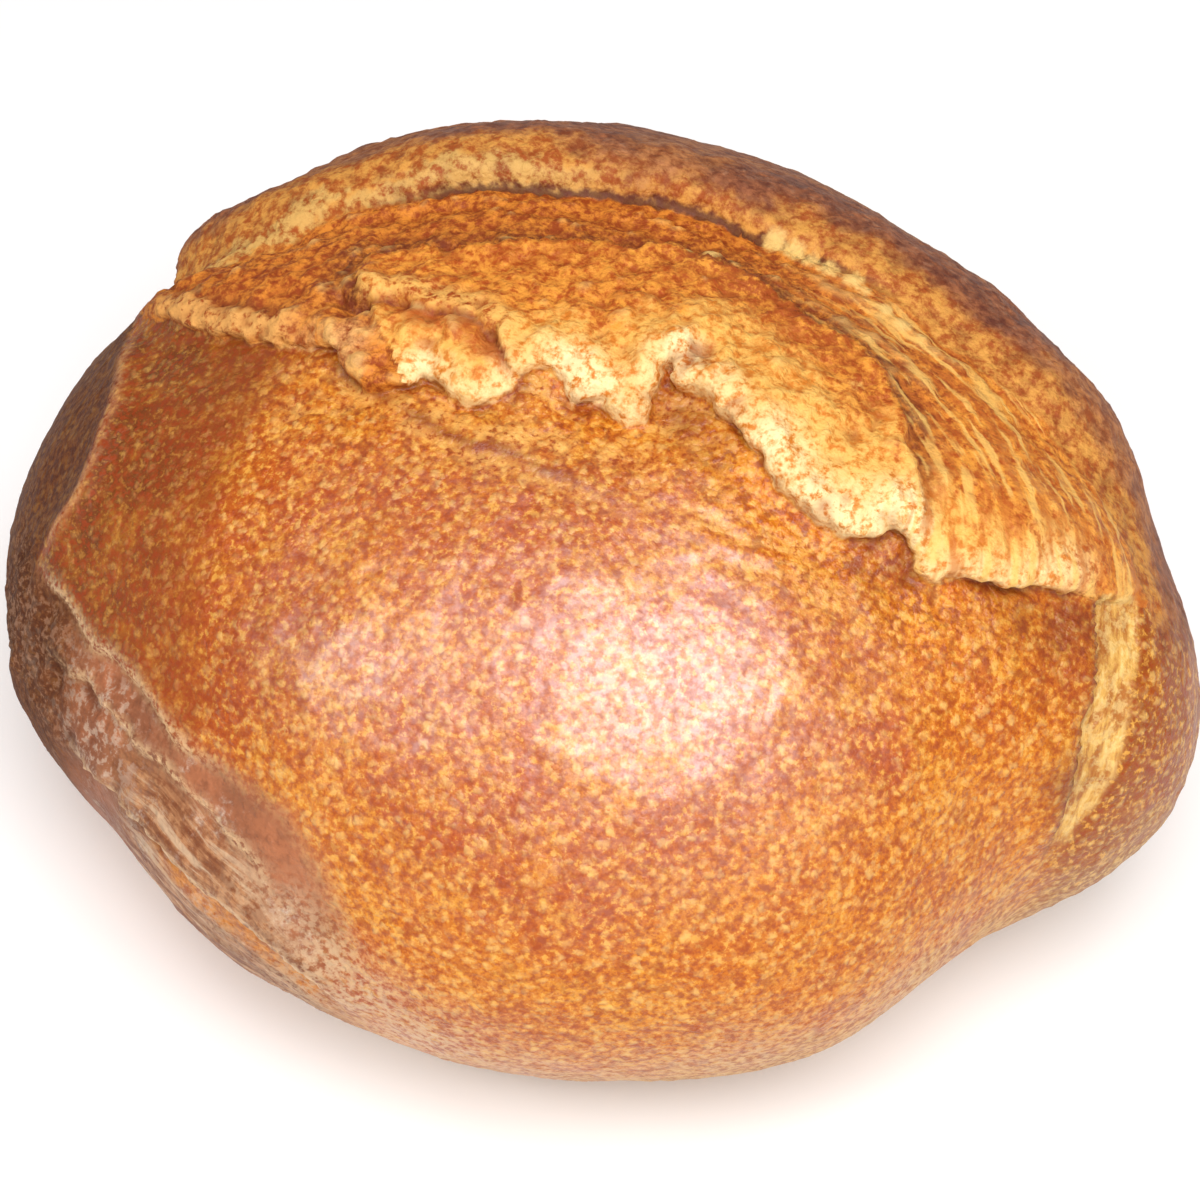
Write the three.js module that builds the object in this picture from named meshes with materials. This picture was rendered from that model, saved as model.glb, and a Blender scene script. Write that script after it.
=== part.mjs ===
// An oval sourdough hearth loaf, baked in one piece.
// Units are millimetres. The loaf lies along X and stands on the flat spot under its belly at Z = 0.
// The baker's cut ran along the top. It tore open into a half-moon of stretched dough between a
// ragged front lip and a raised ear at the back, and burst on down the right-hand shoulder.
import * as THREE from "three";

// Driving dimensions
const CROWN_HEIGHT = 128; // of the plain crown above the rest spot
const BELLY_HEIGHT = 56; // of the widest section above the rest spot
const UNDERSIDE_DEPTH = 70; // where the underside would end below the belly if no oven floor cut it
const FLOOR_EASE = 6; // height over which the side turns into the rest spot
const BELLY_POWER = 2.2; // above 2 is boxier than an ellipsoid, seen from the side
const CROWN_POWER = 2.05;

// Reach of the widest section from the centre, anticlockwise from the right-hand tip
const BELLY_REACH = [
  121, 114, 108, 106, 108, 115, 122, 119, 121, 121, 108, 103, 101, 101, 103, 103,
];

// Edges of the torn opening as seen from above: [x, y], from the left-hand tip to the right
const FRONT_LIP = [
  [-108, 10], [-80, -4], [-46, -12], [-12, -8], [12, 0], [40, -13], [65, -13], [96, 1], [110, 8],
];
const BACK_CRACK = [
  [-108, 14], [-78, 22], [-54, 34], [-24, 44], [14, 49], [50, 42], [82, 29], [110, 12],
];
// The burst down the right-hand shoulder: [y, z], from the lip to the underside
const SHOULDER_BURST = [
  [4, 104], [-9, 97], [-18, 87], [-26, 73], [-31, 52],
];
// The fold between the glossy front and the floury left-hand flank: [x, z]
const FLANK_FOLD = [
  [-98, 88], [-68, 86], [-31, 86], [-17, 75], [-8, 60],
];

// Depths, heights and widths of the relief
const LIP_STAND = 3.5; // torn dough above the front crust
const LIP_WIDTH = 8;
const CRACK_DEPTH = 3.5;
const CRACK_WIDTH = 6;
const EAR_STAND = 5.5; // raised back lip
const EAR_OFFSET = 13; // behind the crack
const EAR_WIDTH = 15;
const NOTCH_DEPTH = 6; // where the opening runs out over the left-hand tip
const NOTCH_WIDTH = 9;
const NOTCH_Y = 20;
const BURST_DEPTH = 2.5;
const BURST_WIDTH = 11;
const FOLD_DEPTH = 2;
const FOLD_WIDTH = 9;
const LEFT_END = [-110, -98]; // where the opening's relief starts, and is full
const RIGHT_END = [106, 82];

// Fineness of the mesh: stations from tip to tip, and points round each, closest over the crown
const STATIONS = 50;
const ROUND = 62;
const CROWN_CROWDING = 0.42;

const smooth = (a, b, x) => (a < b
  ? THREE.MathUtils.smoothstep(x, a, b)
  : 1 - THREE.MathUtils.smoothstep(x, b, a));
const hump = (distance, width) => Math.exp(-((distance / width) ** 2));

// A closed curve through evenly spaced values, at an angle in radians
function aroundCurve(values, angle) {
  const n = values.length;
  const place = ((((angle / (2 * Math.PI)) % 1) + 1) % 1) * n;
  const i = Math.floor(place) % n;
  const t = place - Math.floor(place);
  const [a, b, c, d] = [-1, 0, 1, 2].map((k) => values[(i + k + n) % n]);
  return 0.5 * (2 * b + (c - a) * t + (2 * a - 5 * b + 4 * c - d) * t * t
    + (3 * b - a - 3 * c + d) * t ** 3);
}

// The value at a key, eased from one [key, value] point to the next
function valueAt(points, key) {
  const list = points[0][0] < points[points.length - 1][0] ? points : [...points].reverse();
  const i = list.findIndex(([k]) => key <= k);
  if (i === 0) return list[0][1];
  if (i < 0) return list[list.length - 1][1];
  const [[k0, v0], [k1, v1]] = [list[i - 1], list[i]];
  return v0 + (v1 - v0) * smooth(k0, k1, key);
}

// 1 on the plain body's surface, less inside it and more outside
function bodyField({ x, y, z }) {
  const reach = aroundCurve(BELLY_REACH, Math.atan2(y, x));
  const up = z - BELLY_HEIGHT;
  const depth = up > 0 ? CROWN_HEIGHT - BELLY_HEIGHT : UNDERSIDE_DEPTH;
  return (Math.hypot(x, y) / reach) ** BELLY_POWER + Math.abs(up / depth) ** CROWN_POWER;
}

// Where a ray from the middle of the belly leaves the plain body
function bodyPoint(direction) {
  const core = new THREE.Vector3(0, 0, BELLY_HEIGHT);
  let [inside, outside] = [0, 2 * Math.max(...BELLY_REACH)];
  for (let k = 0; k < 40; k += 1) {
    const middle = (inside + outside) / 2;
    const within = bodyField(core.clone().addScaledVector(direction, middle)) < 1;
    [inside, outside] = within ? [middle, outside] : [inside, middle];
  }
  return core.addScaledVector(direction, inside);
}

function outwardAt(point) {
  const step = 0.5;
  const slope = ["x", "y", "z"].map((axis) => {
    const [ahead, behind] = [point.clone(), point.clone()];
    ahead[axis] += step;
    behind[axis] -= step;
    return bodyField(ahead) - bodyField(behind);
  });
  return new THREE.Vector3(...slope).normalize();
}

// The torn opening along the crown: proud dough, the crack behind it and the ear behind that
function openingRelief({ x, y, z }) {
  const lip = valueAt(FRONT_LIP, x);
  const crack = valueAt(BACK_CRACK, x);
  const onCrown = smooth(BELLY_HEIGHT, BELLY_HEIGHT + 30, z);
  const along = smooth(...LEFT_END, x) * smooth(...RIGHT_END, x);
  const dough = LIP_STAND * smooth(lip - LIP_WIDTH / 2, lip + LIP_WIDTH / 2, y)
    * smooth(crack + CRACK_WIDTH, lip + LIP_WIDTH, y);
  const groove = -CRACK_DEPTH * hump(y - crack, CRACK_WIDTH);
  const ear = EAR_STAND * hump(y - crack - EAR_OFFSET, EAR_WIDTH);
  const notch = -NOTCH_DEPTH * smooth(-84, -104, x) * hump(y - NOTCH_Y, NOTCH_WIDTH);
  return onCrown * (along * (dough + groove + ear) + notch);
}

// The crease down the right-hand shoulder and the fold along the left-hand flank
function sideRelief({ x, y, z }) {
  const onShoulder = smooth(84, 94, x) * smooth(8, 0, y) * smooth(-36, -28, y);
  const burst = hump(z - valueAt(SHOULDER_BURST, y), BURST_WIDTH);
  const onFlank = smooth(-30, -50, y) * smooth(-100, -80, x) * smooth(-5, -25, x);
  const fold = hump(z - valueAt(FLANK_FOLD, x), FOLD_WIDTH);
  return -BURST_DEPTH * onShoulder * burst - FOLD_DEPTH * onFlank * fold;
}

// The oven floor flattens what would hang below it, easing the side into the rest spot
function onFloor(point) {
  if (point.z <= -FLOOR_EASE) point.setZ(0);
  else if (point.z < FLOOR_EASE) point.setZ((point.z + FLOOR_EASE) ** 2 / (4 * FLOOR_EASE));
  return point;
}

// A point of the loaf. Slant goes from the right-hand tip to the left; roll goes round the loaf
// from the crown, over the front first.
function loafPoint(slant, roll) {
  const direction = new THREE.Vector3(
    Math.cos(slant), -Math.sin(slant) * Math.sin(roll), Math.sin(slant) * Math.cos(roll),
  );
  const point = bodyPoint(direction);
  const stand = openingRelief(point) + sideRelief(point);
  return onFloor(point.addScaledVector(outwardAt(point), stand));
}

function loafGeometry() {
  const points = [];
  for (let i = 1; i < STATIONS; i += 1) {
    for (let j = 0; j < ROUND; j += 1) {
      const turn = (j / ROUND) * 2 * Math.PI;
      points.push(loafPoint((i / STATIONS) * Math.PI, turn - CROWN_CROWDING * Math.sin(turn)));
    }
  }
  const rightTip = points.push(loafPoint(0, 0)) - 1;
  const leftTip = points.push(loafPoint(Math.PI, 0)) - 1;
  const lastStation = (STATIONS - 2) * ROUND;
  const faces = [];
  for (let j = 0; j < ROUND; j += 1) {
    const next = (j + 1) % ROUND;
    faces.push(rightTip, j, next, leftTip, lastStation + next, lastStation + j);
    for (let start = 0; start < lastStation; start += ROUND) {
      const [a, b, c, d] = [start + j, start + next, start + next + ROUND, start + j + ROUND];
      faces.push(a, c, b, a, d, c);
    }
  }
  const geometry = new THREE.BufferGeometry().setFromPoints(points);
  geometry.setIndex(faces);
  geometry.computeVertexNormals();
  return geometry;
}

const crust = new THREE.MeshStandardMaterial({ color: 0xc47a3c, roughness: 0.55, metalness: 0 });

const loaf = new THREE.Mesh(loafGeometry(), crust);
loaf.name = "loaf";

const sourdough = new THREE.Group();
sourdough.add(loaf);

export default sourdough;
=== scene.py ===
"""The look of an oval sourdough hearth loaf: one baked piece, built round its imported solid.

The solid is cast as a fine skin, which is then torn, folded and blistered. Lengths in the tables
below are millimetres on the loaf, with X from tip to tip, Y towards the back and Z up.
"""

import math
from types import SimpleNamespace

import bmesh
import bpy
import numpy as np
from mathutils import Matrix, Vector
from mathutils.bvhtree import BVHTree
from mathutils.kdtree import KDTree


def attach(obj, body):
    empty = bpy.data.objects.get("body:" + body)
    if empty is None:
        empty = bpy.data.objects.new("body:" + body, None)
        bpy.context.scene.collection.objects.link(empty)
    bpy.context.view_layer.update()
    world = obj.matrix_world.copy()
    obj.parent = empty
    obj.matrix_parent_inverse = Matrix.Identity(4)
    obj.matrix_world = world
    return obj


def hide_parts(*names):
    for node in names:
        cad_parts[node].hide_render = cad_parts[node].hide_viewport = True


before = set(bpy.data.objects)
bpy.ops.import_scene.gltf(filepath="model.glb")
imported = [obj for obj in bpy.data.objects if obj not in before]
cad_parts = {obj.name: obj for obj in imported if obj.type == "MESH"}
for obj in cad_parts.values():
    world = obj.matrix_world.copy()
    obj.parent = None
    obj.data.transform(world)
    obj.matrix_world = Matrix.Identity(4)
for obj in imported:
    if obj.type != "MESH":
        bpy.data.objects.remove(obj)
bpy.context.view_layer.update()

MM = 0.001
SEED = 7

# ---------------------------------------------------------------- shape tables, in millimetres

BELLY_HEIGHT = 56  # height of the core point that the skin is cast from

# The ragged front edge of the torn opening, from the left-hand tip to the right shoulder
FRONT_LIP = [
    (-104, 10, 96), (-99, 4, 102), (-88, -2, 111), (-76, -6, 116), (-65, -8, 120), (-56, -9, 124),
    (-49, -9, 126), (-46, -14, 125), (-39, -16, 125), (-33, -14, 126), (-30, -12, 127),
    (-25, -14, 127), (-20, -15, 127), (-15, -12, 127), (-13, -7, 129), (-9, -5, 130),
    (-5, -6, 130), (-2, -9, 128), (3, -7, 128), (8, -9, 128), (12, -7, 128), (11, -1, 129),
    (12, 3, 131), (16, 0, 130), (22, -1, 130), (28, -5, 129), (33, -8, 128), (37, -12, 126),
    (41, -14, 124), (46, -16, 122), (51, -16, 121), (57, -14, 120), (61, -11, 121),
    (64, -13, 118), (66, -16, 115), (72, -13, 114), (80, -9, 111), (89, -4, 106), (96, 1, 101),
]
# How proud the torn dough stands along that edge: [x, height]
LIP_STAND = [
    (-104, 0.0), (-97, 0.2), (-88, 0.8), (-70, 1.2), (-56, 1.4), (-46, 2.1), (-20, 1.8),
    (-12, 1.3), (0, 1.8), (9, 2.1),
    (14, 3.0), (40, 2.5), (60, 2.5), (66, 2.0), (90, 1.6), (98, 1.0),
]
# Where the top layer of torn dough ends inside the opening, and a hollow starts behind it
INNER_STEP = [
    (-47, 2, 127), (-53, 12, 123), (-47, 18, 124), (-36, 20, 126), (-25, 25, 127), (-15, 29, 127),
    (-4, 33, 127), (7, 36, 126), (21, 32, 126), (32, 28, 125), (43, 25, 123), (52, 16, 123),
    (58, 5, 124), (62, -5, 121),
]
# How far behind the lip the cream-coloured dough reaches: [x, depth]
CREAM_DEPTH = [
    (-110, 1), (-100, 6), (-66, 7), (-61, 6), (-55, 9), (-48, 14), (-24, 11), (-17, 12), (-12, 14),
    (10, 14), (14, 20), (34, 22), (54, 23), (64, 13), (96, 10),
]
# The crack at the foot of the raised ear
BACK_CRACK = [
    (-102, 12, 96), (-90, 14, 108), (-76, 22, 113), (-67, 28, 114), (-53, 36, 119), (-44, 41, 122),
    (-25, 45, 122), (-2, 50, 122), (23, 49, 119), (43, 45, 117), (61, 38, 113), (80, 30, 106),
    (93, 22, 100), (101, 12, 94),
]
# A stretch mark in the crust, below the lip's left half
STRETCH_MARK = [
    (-55, -10, 124), (-47, -13, 125), (-40, -16, 125), (-35, -18, 125), (-25, -21, 126),
    (-18, -23, 126), (-11, -23, 126), (1, -25, 127), (13, -26, 126), (23, -25, 125),
]
# Pale strained spots in the crust between that mark and the lip: (x, y, z, radius, strength)
STRAINED = [
    (-9, -19, 127, 3, 1.0), (-25, -18, 126, 2.4, 0.9), (-20, -19, 126, 2.2, 0.8),
    (-15, -20, 127, 2.2, 0.8), (-33, -17, 126, 2.6, 0.8), (-39, -15, 125, 2.2, 0.7),
    (-1, -18, 127, 2.6, 0.7), (-45, -12, 125, 2.4, 0.6), (8, -17, 127, 2.4, 0.6),
]
# Where the main sheet of torn dough laps over a smaller roll, at the opening's left
ROLL_CREASE = [
    (-56, 9, 124), (-51, 2, 126), (-46, 1, 127), (-41, 3, 128), (-34, 2, 129), (-26, 2, 130),
    (-22, 0, 131), (-17, -4, 131), (-14, -9, 130),
]
# The burst down the right shoulder: where the front crust ends, and where the end crust starts
BURST_FRONT = [
    (95, 3, 102), (98, -5, 96), (100, -12, 91), (100, -19, 85), (101, -25, 76), (101, -30, 68),
    (101, -33, 56),
]
BURST_END = [
    (101, 12, 97), (106, 1, 91), (107, -8, 86), (109, -15, 78), (108, -23, 69), (106, -29, 60),
    (102, -34, 54),
]
# The ridge round the left-hand end, and the folds of floury skin along the front left flank
LEFT_RIDGE = [
    (-99, 0, 101), (-93, -15, 105), (-90, -27, 104), (-90, -37, 101), (-92, -43, 96), (-97, -48, 88),
]
UPPER_FOLD = [
    (-99, -48, 86), (-89, -55, 87), (-80, -62, 86), (-69, -66, 88), (-60, -72, 88), (-53, -78, 87),
    (-43, -82, 88), (-33, -85, 88), (-25, -89, 85), (-17, -95, 77), (-12, -99, 66),
]
MIDDLE_FOLD = [
    (-92, -58, 76), (-84, -65, 78), (-77, -68, 80), (-64, -76, 80), (-48, -84, 81), (-33, -91, 77),
    (-23, -98, 66),
]
LOWER_FOLD = [
    (-86, -71, 62), (-71, -79, 66), (-57, -87, 68), (-46, -92, 66), (-32, -97, 64), (-19, -100, 55),
    (-10, -101, 44),
]
# Spots where the crust is scorched, and spots of painted shade in the notches and pockets by the lip:
# (x, y, z, radius, strength)
SCORCHED_AND_SHADED = [
    (19, -6, 129, 5, 1.0), (25, -10, 128, 5, 0.6), (-15, -8, 129, 5, 1.0), (-21, -3, 130, 6, 0.7),
    (94, -6, 100, 9, 0.9), (84, -9, 106, 9, 0.5), (99, -24, 78, 7, 0.7), (-58, -3, 123, 6, 0.5),
    (60, -17, 118, 7, 0.6), (-66, -14, 120, 12, 0.4), (-41, -66, 106, 16, 0.4),
]
# Where the torn dough is palest, and where flour lies in dabs behind the crack, in the same way
AMPLE_CREAM = [
    (15, 6, 130, 5, 0.8), (40, -4, 127, 8, 0.8), (50, -9, 124, 9, 1.0), (57, -8, 122, 8, 1.0),
    (88, 2, 108, 10, 0.6), (-2, -3, 130, 8, 0.7), (-46, -8, 126, 6, 0.7), (-31, -10, 127, 5, 0.5),
    (45, 14, 126, 1.6, 1.0),
]
FLOUR_DABS = [
    (18, 50, 121, 2.6, 1.0), (22, 49, 120, 2.8, 1.0), (26, 48, 120, 2.6, 0.9),
    (30, 47, 120, 2.8, 1.0), (35, 46, 119, 2.8, 1.0), (38, 44, 119, 2.2, 0.8),
    (43, 41, 118, 2.2, 0.9), (47, 39, 117, 2.4, 1.0), (51, 37, 116, 2.0, 0.8),
    (4, 38, 126, 2.0, 0.8), (9, 38, 126, 2.2, 0.9), (14, 38, 126, 2.0, 0.8),
    (58, 34, 115, 1.8, 0.7), (68, 30, 112, 1.8, 0.6),
]
# Where the sheet of torn dough is toasted brown, and the flank's base pale with flour, likewise
TOASTED = [
    (19, 31, 127, 8, 1.0), (29, 27, 126, 7, 0.9), (8, 34, 127, 7, 0.9), (38, 22, 125, 6, 0.7),
    (-4, 30, 127, 6, 0.5), (46, 14, 124, 5, 0.6),
]
FLOURED = [
    (-33, -94, 73, 6, 0.6), (-24, -97, 71, 7, 0.8), (-17, -99, 64, 9, 1.0), (-10, -100, 56, 12, 1.0),
    (0, -100, 46, 16, 1.0), (-40, -92, 54, 9, 0.6), (-24, -98, 48, 12, 0.9), (18, -101, 36, 18, 0.8),
    (40, -96, 32, 18, 0.7), (62, -86, 40, 18, 0.7), (84, -62, 42, 18, 0.7),
]

# ---------------------------------------------------------------- curves and noise


def smooth(start, end, x):
    """0 before start and 1 after end, or the other way round if end is the lower one."""
    t = np.clip((x - start) / (end - start), 0, 1)
    return t * t * (3 - 2 * t)


def hump(distance, width):
    return np.exp(-((distance / width) ** 2))


def gradient_noise(points, size, seed=0):
    """Smooth noise from about -1 to 1, with lumps of that size; size may differ by axis."""
    table = np.random.default_rng(SEED + seed).normal(size=(4096, 3))
    table /= np.linalg.norm(table, axis=1)[:, None]
    scaled = points / np.asarray(size, float)
    cell = np.floor(scaled).astype(np.int64)
    inside = scaled - cell
    ease = inside**3 * (inside * (inside * 6 - 15) + 10)
    total = np.zeros(len(points))
    for corner in np.ndindex(2, 2, 2):
        at = cell + corner
        pick = (at[:, 0] * 73856093) ^ (at[:, 1] * 19349663) ^ (at[:, 2] * 83492791)
        slope = np.einsum("ij,ij->i", table[pick & 4095], inside - corner)
        total += slope * np.where(corner, ease, 1 - ease).prod(axis=1)
    return 1.6 * total


def fractal(points, size, seed=0, octaves=3):
    size = np.asarray(size, float)
    layers = [
        gradient_noise(points, size / 2**k, seed + 17 * k) / 1.8**k for k in range(octaves)
    ]
    return sum(layers)


def spline(points, steps=12):
    """A smooth curve through the points, as many steps between each two."""
    p = np.asarray(points, float)
    p = np.vstack([2 * p[0] - p[1], p, 2 * p[-1] - p[-2]])
    t = np.linspace(0, 1, steps, endpoint=False)[:, None]
    made = []
    for a, b, c, d in zip(p, p[1:], p[2:], p[3:]):
        made.append(0.5 * (2 * b + (c - a) * t + (2 * a - 5 * b + 4 * c - d) * t**2
                           + (3 * b - a - 3 * c + d) * t**3))
    return np.vstack([*made, p[-2:-1]])


class Seam:
    """A curve on the skin. It tells how far a point lies to its left, as seen from outside."""

    def __init__(self, points, skin):
        self.line = skin.land(spline(points))
        self.along = np.gradient(self.line, axis=0)
        self.along /= np.linalg.norm(self.along, axis=1)[:, None]
        self.tree = KDTree(len(self.line))
        for i, point in enumerate(self.line):
            self.tree.insert(point, i)
        self.tree.balance()

    def measure(self, points, normals):
        """Signed distance, share of the way along, and the sideways direction at each point."""
        nearest = np.array([self.tree.find(p)[1] for p in points])
        last = len(self.line) - 1
        along = self.along[nearest]
        sideways = np.cross(normals, along)
        sideways /= np.linalg.norm(sideways, axis=1)[:, None] + 1e-9
        offset = points - self.line[nearest]
        slip = np.einsum("ij,ij->i", offset, along) * ((nearest > 0) & (nearest < last))
        offset -= slip[:, None] * along
        side = np.sign(np.einsum("ij,ij->i", sideways, offset))
        return np.linalg.norm(offset, axis=1) * side, nearest / last, sideways


# ---------------------------------------------------------------- the skin cast on the solid


class Skin:
    """The solid's surface as a smooth reach from its core, by slant and roll.

    Slant goes from the right-hand tip to the left; roll goes round from the crown, front first.
    """

    SLANTS, ROLLS = 161, 256
    BLUR = 1.6  # in cells, enough to melt the solid's facets
    MARGIN = 5  # how many cells away the blur still reaches

    def __init__(self, node):
        self.core = np.array([0, 0, BELLY_HEIGHT], float)
        cast = self.caster(node)
        slant = np.linspace(0, math.pi, self.SLANTS)
        roll = np.linspace(0, 2 * math.pi, self.ROLLS, endpoint=False)
        rays = self.direction(*np.meshgrid(slant, roll, indexing="ij")).reshape(-1, 3)
        reach = np.array([cast(ray) for ray in rays]).reshape(self.SLANTS, self.ROLLS)
        self.reach = self.blurred(reach)

    @staticmethod
    def direction(slant, roll):
        return np.stack([np.cos(slant), -np.sin(slant) * np.sin(roll),
                         np.sin(slant) * np.cos(roll)], axis=-1)

    def caster(self, node):
        solid = bmesh.new()
        solid.from_mesh(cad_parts[node].data)
        bmesh.ops.remove_doubles(solid, verts=solid.verts, dist=1e-6)
        tree = BVHTree.FromBMesh(solid)
        solid.free()
        core = Vector(self.core) * MM
        return lambda ray: tree.ray_cast(core, Vector(ray))[3] / MM

    def blurred(self, reach):
        margin = self.MARGIN
        steps = np.arange(-margin, margin + 1)
        kernel = hump(steps, self.BLUR * math.sqrt(2))
        kernel /= kernel.sum()
        half = self.ROLLS // 2
        # Past a tip the surface goes on at the opposite roll
        over = np.roll(reach, half, axis=1)
        padded = np.vstack([over[margin:0:-1], reach, over[-2:-2 - margin:-1]])
        rows = sum(w * padded[margin + s:][:self.SLANTS] for s, w in zip(steps, kernel))
        return sum(w * np.roll(rows, s, axis=1) for s, w in zip(steps, kernel))

    def points(self, slant, roll):
        """Points of the skin, in millimetres."""
        a = np.clip(slant / math.pi * (self.SLANTS - 1), 0, self.SLANTS - 1.001)
        b = (roll / (2 * math.pi) * self.ROLLS) % self.ROLLS
        i, j = np.floor(a).astype(int), np.floor(b).astype(int) % self.ROLLS
        s, t = a - i, b - np.floor(b)
        k = (j + 1) % self.ROLLS
        reach = ((1 - s) * ((1 - t) * self.reach[i, j] + t * self.reach[i, k])
                 + s * ((1 - t) * self.reach[i + 1, j] + t * self.reach[i + 1, k]))
        return self.core + reach[..., None] * self.direction(slant, roll)

    def land(self, points):
        """Moves points straight out from the core onto the skin."""
        offset = points - self.core
        offset /= np.linalg.norm(offset, axis=1)[:, None]
        slant = np.arccos(np.clip(offset[:, 0], -1, 1))
        roll = np.arctan2(-offset[:, 1], offset[:, 2]) % (2 * math.pi)
        return self.points(slant, roll)


STATIONS = 330  # from tip to tip
ROUND = 286  # points round each station
TRIAL_ROLLS = 1200  # where the wanted closeness is looked up, round each station
EVENING_PASSES = 40


def roll_weights(skin, slant, roll):
    """How closely points are wanted round one station: most at the torn edges, least below."""
    points = skin.points(np.full_like(roll, slant), roll)
    x, y, z = points.T
    weight = 0.22 + 0.6 * smooth(4, 30, z) * (1 - 0.5 * smooth(60, 95, y))
    for seam, strength, width in ((FRONT_LIP, 1.9, 4.0), (BACK_CRACK, 0.5, 4.0)):
        line = np.array(sorted(seam), float)
        across = y - np.interp(x, line[:, 0], line[:, 1])
        weight = weight + strength * hump(across, width) * (z > 84) * smooth(106, 98, np.abs(x))
    return weight


def skin_grid(skin):
    """Points of the fine skin: stations by round, without the two tips."""
    slants = np.linspace(0, math.pi, STATIONS + 1)[1:-1]
    fine = np.linspace(0, 2 * math.pi, TRIAL_ROLLS, endpoint=False)
    rows = []
    for slant in slants:
        weight = roll_weights(skin, slant, fine)
        share = np.concatenate([[0], np.cumsum(weight)])
        share /= share[-1]
        rows.append(np.interp(np.arange(ROUND) / ROUND, share, np.append(fine, 2 * math.pi)))
    # Neighbouring stations share their spacing, so that the grid doesn't zigzag
    rolls = np.array(rows)
    for _ in range(EVENING_PASSES):
        rolls[1:-1] = (rolls[:-2] + 2 * rolls[1:-1] + rolls[2:]) / 4
    return skin.points(np.repeat(slants[:, None], ROUND, axis=1), rolls)


def skin_faces():
    """Corner indices of the grid's quads and of the two fans that close the tips."""
    rows, cols = np.meshgrid(np.arange(STATIONS - 2), np.arange(ROUND), indexing="ij")
    a = rows * ROUND + cols
    b = rows * ROUND + (cols + 1) % ROUND
    quads = np.stack([a, a + ROUND, b + ROUND, b], axis=-1).reshape(-1, 4)
    right, left = (STATIONS - 1) * ROUND, (STATIONS - 1) * ROUND + 1
    last = (STATIONS - 2) * ROUND
    fans = [(right, j, (j + 1) % ROUND) for j in range(ROUND)]
    fans += [(left, last + (j + 1) % ROUND, last + j) for j in range(ROUND)]
    return quads.tolist() + fans


# ---------------------------------------------------------------- relief


def make_mesh(points, faces):
    mesh = bpy.data.meshes.new("sourdough_loaf")
    mesh.from_pydata((points * MM).tolist(), [], faces)
    mesh.update()
    return mesh


def vertex_normals(mesh):
    normals = np.zeros(len(mesh.vertices) * 3, np.float32)
    mesh.vertex_normals.foreach_get("vector", normals)
    return normals.reshape(-1, 3).astype(float)


class Relief:
    """What is added to the skin: height along its normals, and a sideways shift for overhangs."""

    def __init__(self, skin, points, normals):
        self.skin, self.points, self.normals = skin, points, normals
        self.height = np.zeros(len(points))
        self.fine = np.zeros(len(points))
        self.shift = np.zeros_like(points)
        self.masks = {}
        self.on_crown = smooth(80, 92, points[:, 2])

    def seam(self, line):
        return Seam(line, self.skin).measure(self.points, self.normals)

    def noise(self, size, seed):
        return gradient_noise(self.points, size, seed)

    def ridged(self, place, size, seed):
        """Noise with sharp crests, from -1 to 1."""
        return 1 - 2 * np.abs(gradient_noise(place, size, seed))

    def add_fine(self, height):
        """Small relief, whose hollows the finish darkens with painted shade."""
        self.fine += height
        self.height += height

    def lean_over(self, sideways, amount):
        self.shift += sideways * amount[:, None]

    def made(self):
        """The finished points. They keep off the flat rest spot, which stays flat."""
        low = smooth(0, 9, self.points[:, 2])[:, None]
        made = self.points + low * (self.shift + self.normals * self.height[:, None])
        made[:, 2] = np.maximum(made[:, 2], 0)
        return made


def spotted(relief, spots):
    """Soft round spots, from 0 to 1: (x, y, z, radius, strength) each."""
    amount = np.zeros(len(relief.points))
    for *spot, radius, strength in spots:
        away = np.linalg.norm(relief.points - spot, axis=1)
        amount = np.maximum(amount, strength * hump(away, radius))
    return amount


def shape_dough(relief):
    """Slow unevenness of a loaf shaped by hand."""
    relief.height += 1.5 * relief.noise(52, 1) + 0.7 * relief.noise(24, 2)
    relief.height += 0.25 * fractal(relief.points, 8, 3, 2)


def raise_lip(relief):
    """The ragged front lip: crust that dips, a gap under the edge, and dough puffed over it."""
    x = relief.points[:, 0]
    lip, _, sideways = relief.seam(FRONT_LIP)
    lip = lip + 1.3 * relief.noise(5.2, 21) + 0.8 * relief.noise(2.3, 22)
    stand = np.interp(x, *np.transpose(LIP_STAND)) * relief.on_crown
    stand *= smooth(104, 97, np.abs(x)) * (1 + 0.5 * relief.noise(9, 4))
    edge = smooth(-0.9, 2.2, lip)
    relief.height += stand * edge * (0.25 + 0.75 * smooth(24, 4, lip))
    relief.height += 0.35 * stand * hump(lip - 4.0, 2.6)
    relief.height -= 0.4 * stand * smooth(-11, 0, lip) * smooth(1, 0, lip)
    gap = smooth(-0.35, 0.45, relief.noise(13, 36))
    relief.height -= 0.5 * stand * gap * hump(lip + 0.7, 1.1)
    overhang = 0.2 + 0.5 * gap
    relief.lean_over(-sideways, stand * overhang * (hump(lip - 1.2, 1.3) - 0.4 * hump(lip + 0.3, 0.7)))
    # The gap mask also places painted shade under the overhanging edge
    relief.masks.update(lip=lip, gap=gap * smooth(0.8, 1.8, stand))
    return lip


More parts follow.
